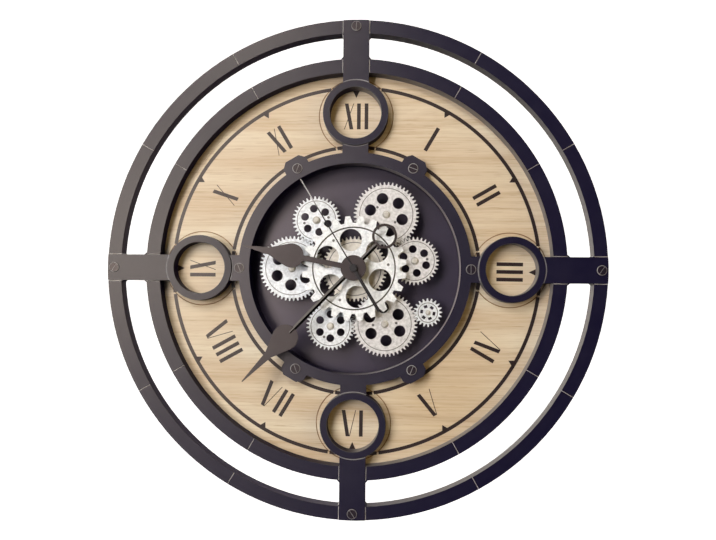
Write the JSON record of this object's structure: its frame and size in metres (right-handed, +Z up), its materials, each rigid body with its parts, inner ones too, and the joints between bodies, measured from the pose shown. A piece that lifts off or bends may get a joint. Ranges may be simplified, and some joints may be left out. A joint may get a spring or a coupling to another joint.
{
  "type": "wall gear clock",
  "caption": "Round wall clock with open black rings, an oak dial with Roman numerals and a window of meshing silver gears; gears and hands turn.",
  "frame": {"origin": "on the clock's axis, in the plane of the wall behind the rear cover", "axes": "+Z up towards twelve, +X towards three, -Y out of the wall towards the viewer"},
  "size_m": [0.6, 0.0758, 0.6],
  "materials": {
    "black_frame": "board painted satin black, paler on worn edges",
    "oak": "light oak, matt lacquer, dark printed numerals",
    "dark_plate": "warm dark grey paint on sheet",
    "screw_steel": "dark steel",
    "cap_silver": "pale glossy caps",
    "gear_silver": "satin silver paint",
    "crown_silver": "satin silver paint",
    "bush_brass": "turned brass",
    "contact_steel": "plated spring steel",
    "hand_dark": "dark grey paint",
    "case_plastic": "fine-grained black",
    "cell_can": "plain dark sleeve"
  },
  "bodies": {
    "case": {"outer_ring": "black_frame", "bezel_ring": "black_frame", "spokes": "black_frame", "medallions": "black_frame", "window_ring": "black_frame", "dial_board": "oak", "gear_plate": "dark_plate", "rear_cover": "dark_plate", "spoke_screws": "screw_steel", "window_screws": "screw_steel", "rear_screws": "screw_steel", "gear_posts": "screw_steel", "post_caps": "cap_silver", "center_bush": "bush_brass", "bush_nut": "bush_brass", "wheel_clip": "bush_brass", "cell_contacts": "contact_steel", "drive_contacts": "contact_steel", "movement_case": "case_plastic", "drive_case": "case_plastic", "movement_cell": "cell_can", "drive_cells": "cell_can"},
    "center_wheel": {"center_gear": "gear_silver", "crown_gear": "crown_silver", "center_sleeve": "gear_silver"},
    "left_gear": {"gear_left": "gear_silver"},
    "upper_right_gear": {"gear_upper_right": "gear_silver"},
    "lower_right_gear": {"gear_lower_right": "gear_silver"},
    "upper_left_gear": {"gear_upper_left": "gear_silver"},
    "right_gear": {"gear_right": "gear_silver"},
    "lower_left_gear": {"gear_lower_left": "gear_silver"},
    "drive": {"drive_pinion": "gear_silver", "drive_shaft": "screw_steel"},
    "hour": {"hour_hand": "hand_dark", "hour_tube": "bush_brass"},
    "minute": {"minute_hand": "hand_dark", "minute_arbor": "bush_brass"},
    "second": {"second_hand": "hand_dark", "second_arbor": "bush_brass"},
    "knob": {"set_knob": "case_plastic"}
  },
  "joints": [
    {"name": "center_wheel_spin", "type": "hinge", "parent": "case", "child": "center_wheel", "pos_m": [0, 0, 0], "axis": [0, -1, 0], "continuous": true},
    {"name": "left_gear_spin", "type": "hinge", "parent": "case", "child": "left_gear", "pos_m": [-0.07571, 0, 0], "axis": [0, -1, 0], "continuous": true},
    {"name": "upper_right_gear_spin", "type": "hinge", "parent": "case", "child": "upper_right_gear", "pos_m": [0.03786, 0, 0.06557], "axis": [0, -1, 0], "continuous": true},
    {"name": "lower_right_gear_spin", "type": "hinge", "parent": "case", "child": "lower_right_gear", "pos_m": [0.037, 0, -0.06606], "axis": [0, -1, 0], "continuous": true},
    {"name": "upper_left_gear_spin", "type": "hinge", "parent": "case", "child": "upper_left_gear", "pos_m": [-0.04651, 0, 0.05858], "axis": [0, -1, 0], "continuous": true},
    {"name": "right_gear_spin", "type": "hinge", "parent": "case", "child": "right_gear", "pos_m": [0.07255, 0, 0.01006], "axis": [0, -1, 0], "continuous": true},
    {"name": "lower_left_gear_spin", "type": "hinge", "parent": "case", "child": "lower_left_gear", "pos_m": [-0.02838, 0, -0.06932], "axis": [0, -1, 0], "continuous": true},
    {"name": "drive_spin", "type": "hinge", "parent": "case", "child": "drive", "pos_m": [0.0887, 0, -0.05182], "axis": [0, -1, 0], "continuous": true},
    {"name": "minute_turn", "type": "hinge", "parent": "case", "child": "minute", "pos_m": [0, 0, 0], "axis": [0, 1, 0], "continuous": true},
    {"name": "hour_turn", "type": "hinge", "parent": "case", "child": "hour", "pos_m": [0, 0, 0], "axis": [0, 1, 0], "continuous": true},
    {"name": "second_turn", "type": "hinge", "parent": "case", "child": "second", "pos_m": [0, 0, 0], "axis": [0, 1, 0], "continuous": true},
    {"name": "knob_turn", "type": "hinge", "parent": "case", "child": "knob", "pos_m": [0, 0, 0.017], "axis": [0, 1, 0], "continuous": true}
  ],
  "couplings": [
    {"joint": "left_gear_spin", "follows": "center_wheel_spin", "ratio": -1},
    {"joint": "upper_right_gear_spin", "follows": "center_wheel_spin", "ratio": -1},
    {"joint": "lower_right_gear_spin", "follows": "center_wheel_spin", "ratio": -1},
    {"joint": "upper_left_gear_spin", "follows": "center_wheel_spin", "ratio": 1.3714},
    {"joint": "right_gear_spin", "follows": "center_wheel_spin", "ratio": 1.3714},
    {"joint": "lower_left_gear_spin", "follows": "center_wheel_spin", "ratio": 1.3714},
    {"joint": "drive_spin", "follows": "center_wheel_spin", "ratio": 2.4},
    {"joint": "hour_turn", "follows": "minute_turn", "ratio": 0.083333},
    {"joint": "second_turn", "follows": "minute_turn", "ratio": 60},
    {"joint": "knob_turn", "follows": "minute_turn", "ratio": -0.33333}
  ]
}
